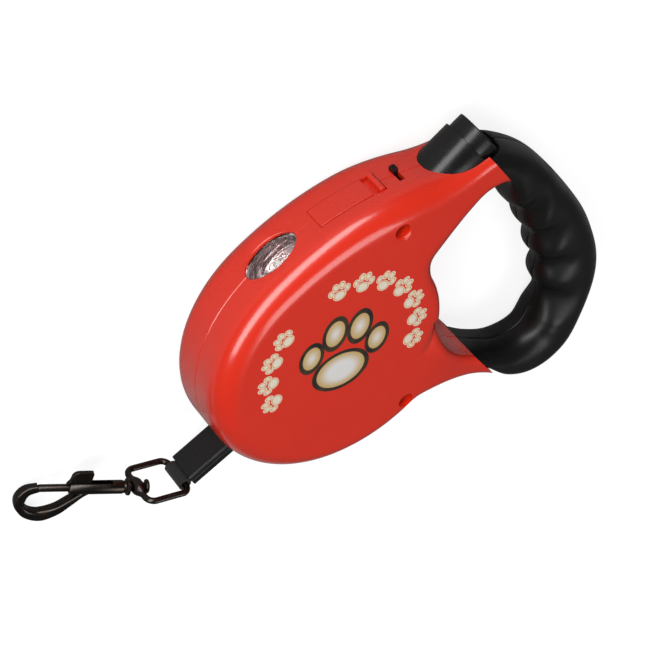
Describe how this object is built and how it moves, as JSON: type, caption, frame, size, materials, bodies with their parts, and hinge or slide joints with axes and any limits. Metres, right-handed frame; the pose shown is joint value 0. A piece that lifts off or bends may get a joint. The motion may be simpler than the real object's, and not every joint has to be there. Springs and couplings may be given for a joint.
{
  "type": "retractable leash",
  "caption": "Retractable tape leash: red disc housing with rubber D-handle, thumb brake button, rim torch with battery door, and a swivel bolt snap at the end of the tape.",
  "frame": {"origin": "on the spool axis, at the flat rear face that the leash lies on", "axes": "+Z out of the front face, +X towards the hand grip, -X out of the tape nozzle, +Y towards the torch in the rim"},
  "size_m": [0.2231, 0.1659, 0.032],
  "materials": {
    "red_shell": "glossy moulded ABS",
    "grip_rubber": "soft satin rubber",
    "black_plastic": "satin moulded plastic",
    "inner_plastic": "plain moulded acetal",
    "woven_tape": "woven polyester webbing",
    "spring_steel": "plain steel",
    "cell_steel": "nickel-plated can",
    "dark_metal": "black-nickel plated zinc",
    "clear_window": "clear polycarbonate",
    "bright_reflector": "vacuum-metallised plastic",
    "circuit_board": "green laminate",
    "wire_jacket": "PVC jacket"
  },
  "bodies": {
    "housing": {"front_shell": "red_shell", "rear_shell": "red_shell", "front_grip": "grip_rubber", "rear_grip": "grip_rubber", "handle_core": "inner_plastic", "spool_axle": "spring_steel", "thrust_washers": "spring_steel", "button_sleeve": "black_plastic", "tape_nozzle": "black_plastic", "guide_pins": "spring_steel", "torch_lens": "clear_window", "torch_reflector": "bright_reflector", "torch_lamp": "clear_window", "lamp_board": "circuit_board", "battery_holder": "inner_plastic", "button_cells": "cell_steel", "battery_contacts": "spring_steel", "switch_body": "inner_plastic", "wires": "wire_jacket", "housing_screws": "spring_steel"},
    "reel": {"spool": "inner_plastic", "ratchet_flange": "inner_plastic", "tape_coil": "woven_tape", "mainspring": "spring_steel", "spring_cover": "inner_plastic"},
    "button": {"brake_button": "black_plastic", "brake_pawl": "inner_plastic", "button_spring": "spring_steel"},
    "tape": {"tape_lead": "woven_tape"},
    "ring": {"swivel_ring": "dark_metal"},
    "snap": {"snap_hook": "dark_metal", "swivel_rivet": "dark_metal", "bolt_spring": "spring_steel"},
    "bolt": {"snap_bolt": "dark_metal"},
    "door": {"battery_door": "red_shell"},
    "switch": {"torch_switch": "black_plastic"}
  },
  "joints": [
    {"name": "reel_spin", "type": "hinge", "parent": "housing", "child": "reel", "pos_m": [0, 0, 0.016], "axis": [0, 0, -1], "range_deg": [0, 60], "stiffness_Nm_per_rad": 0.01, "springref_deg": -114.59},
    {"name": "tape_out", "type": "slide", "parent": "housing", "child": "tape", "axis": [-0.9925, 0.1219, 0], "range_m": [0, 0.0351]},
    {"name": "button_press", "type": "slide", "parent": "housing", "child": "button", "axis": [-1, 0, 0], "range_m": [0, 0.0042], "stiffness_N_per_m": 600, "springref_m": -0.003},
    {"name": "ring_swing", "type": "hinge", "parent": "tape", "child": "ring", "pos_m": [-0.0746, 0.0004, 0.016], "axis": [0, 0, 1], "range_deg": [-39, 121]},
    {"name": "snap_swivel", "type": "hinge", "parent": "ring", "child": "snap", "pos_m": [-0.08618, 0.01326, 0.016], "axis": [-0.6342, 0.7043, -0.319], "continuous": true},
    {"name": "bolt_draw", "type": "slide", "parent": "snap", "child": "bolt", "axis": [0.6342, -0.7043, 0.319], "range_m": [0, 0.008], "stiffness_N_per_m": 250, "springref_m": -0.003},
    {"name": "door_hinge", "type": "hinge", "parent": "housing", "child": "door", "pos_m": [0.02853, 0.04865, 0.016], "axis": [0, 0, 1], "range_deg": [0, 70]},
    {"name": "switch_slide", "type": "slide", "parent": "housing", "child": "switch", "axis": [0, 0, 1], "range_m": [0, 0.004]}
  ],
  "couplings": [
    {"joint": "tape_out", "follows": "reel_spin", "m_per_rad": 0.0335}
  ]
}
